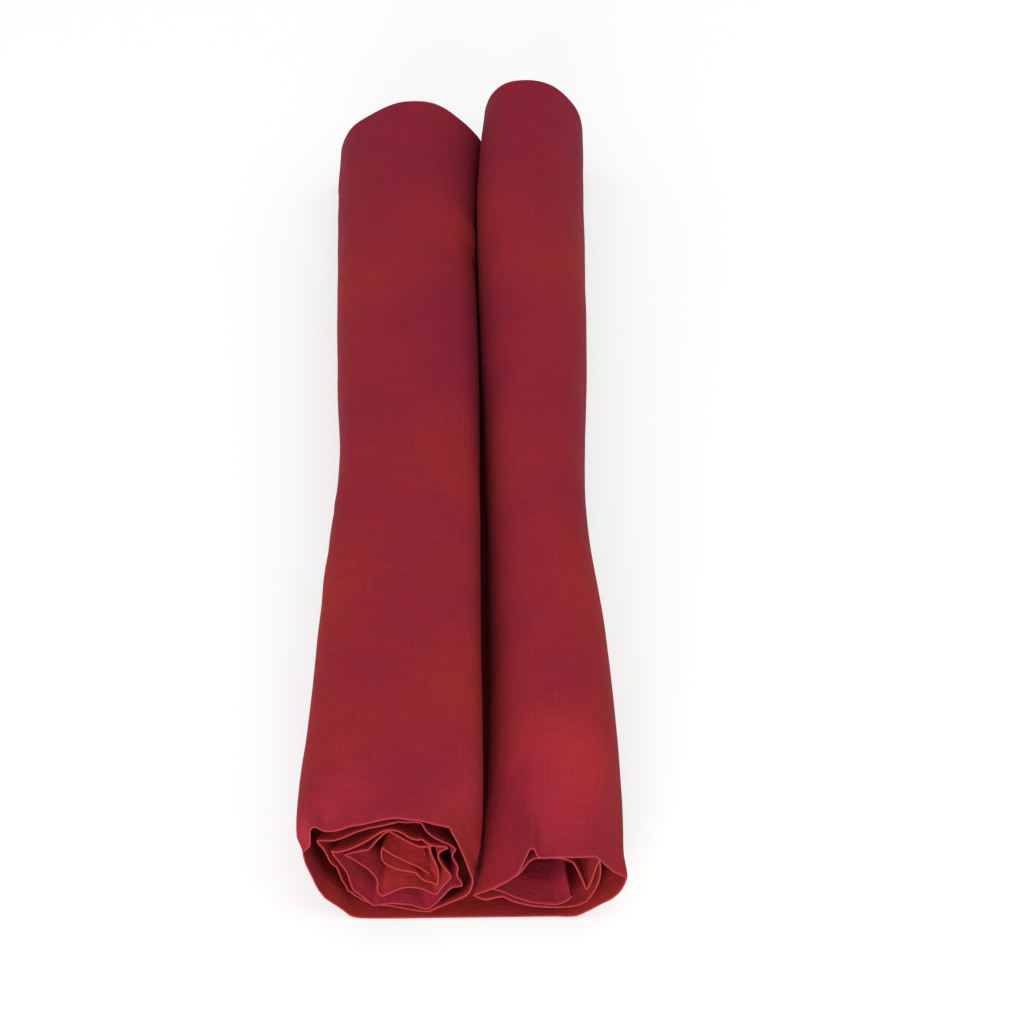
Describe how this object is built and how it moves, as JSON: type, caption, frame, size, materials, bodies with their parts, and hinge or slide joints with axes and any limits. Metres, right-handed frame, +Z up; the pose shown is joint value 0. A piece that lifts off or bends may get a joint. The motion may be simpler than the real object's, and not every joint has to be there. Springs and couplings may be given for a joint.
{
  "type": "rolled fabric length",
  "caption": "Length of plain cotton cloth, folded once and rolled up from both ends into two soft rolls lying side by side on one base of cloth.",
  "frame": {"origin": "centre of the underside of both rolls together, on the surface they lie on", "axes": "+Y runs along the rolls from the folded edge of the cloth at the front to its selvedges at the back, +X runs across from the left roll to the right roll, +Z is up"},
  "size_m": [0.144, 0.575, 0.0603],
  "materials": {
    "cotton": "matte"
  },
  "bodies": {
    "left_roll": {"left_flat_cloth": "cotton", "left_outer_turn": "cotton", "left_second_turn": "cotton", "left_third_turn": "cotton", "left_fourth_turn": "cotton", "left_core_fold": "cotton"},
    "right_roll": {"right_flat_cloth": "cotton", "right_outer_turn": "cotton", "right_second_turn": "cotton", "right_core_fold": "cotton"}
  },
  "joints": [
    {"name": "roll_fold", "type": "hinge", "parent": "left_roll", "child": "right_roll", "pos_m": [0.009, 0, 0], "axis": [0, 1, 0], "range_deg": [0, 175]}
  ]
}
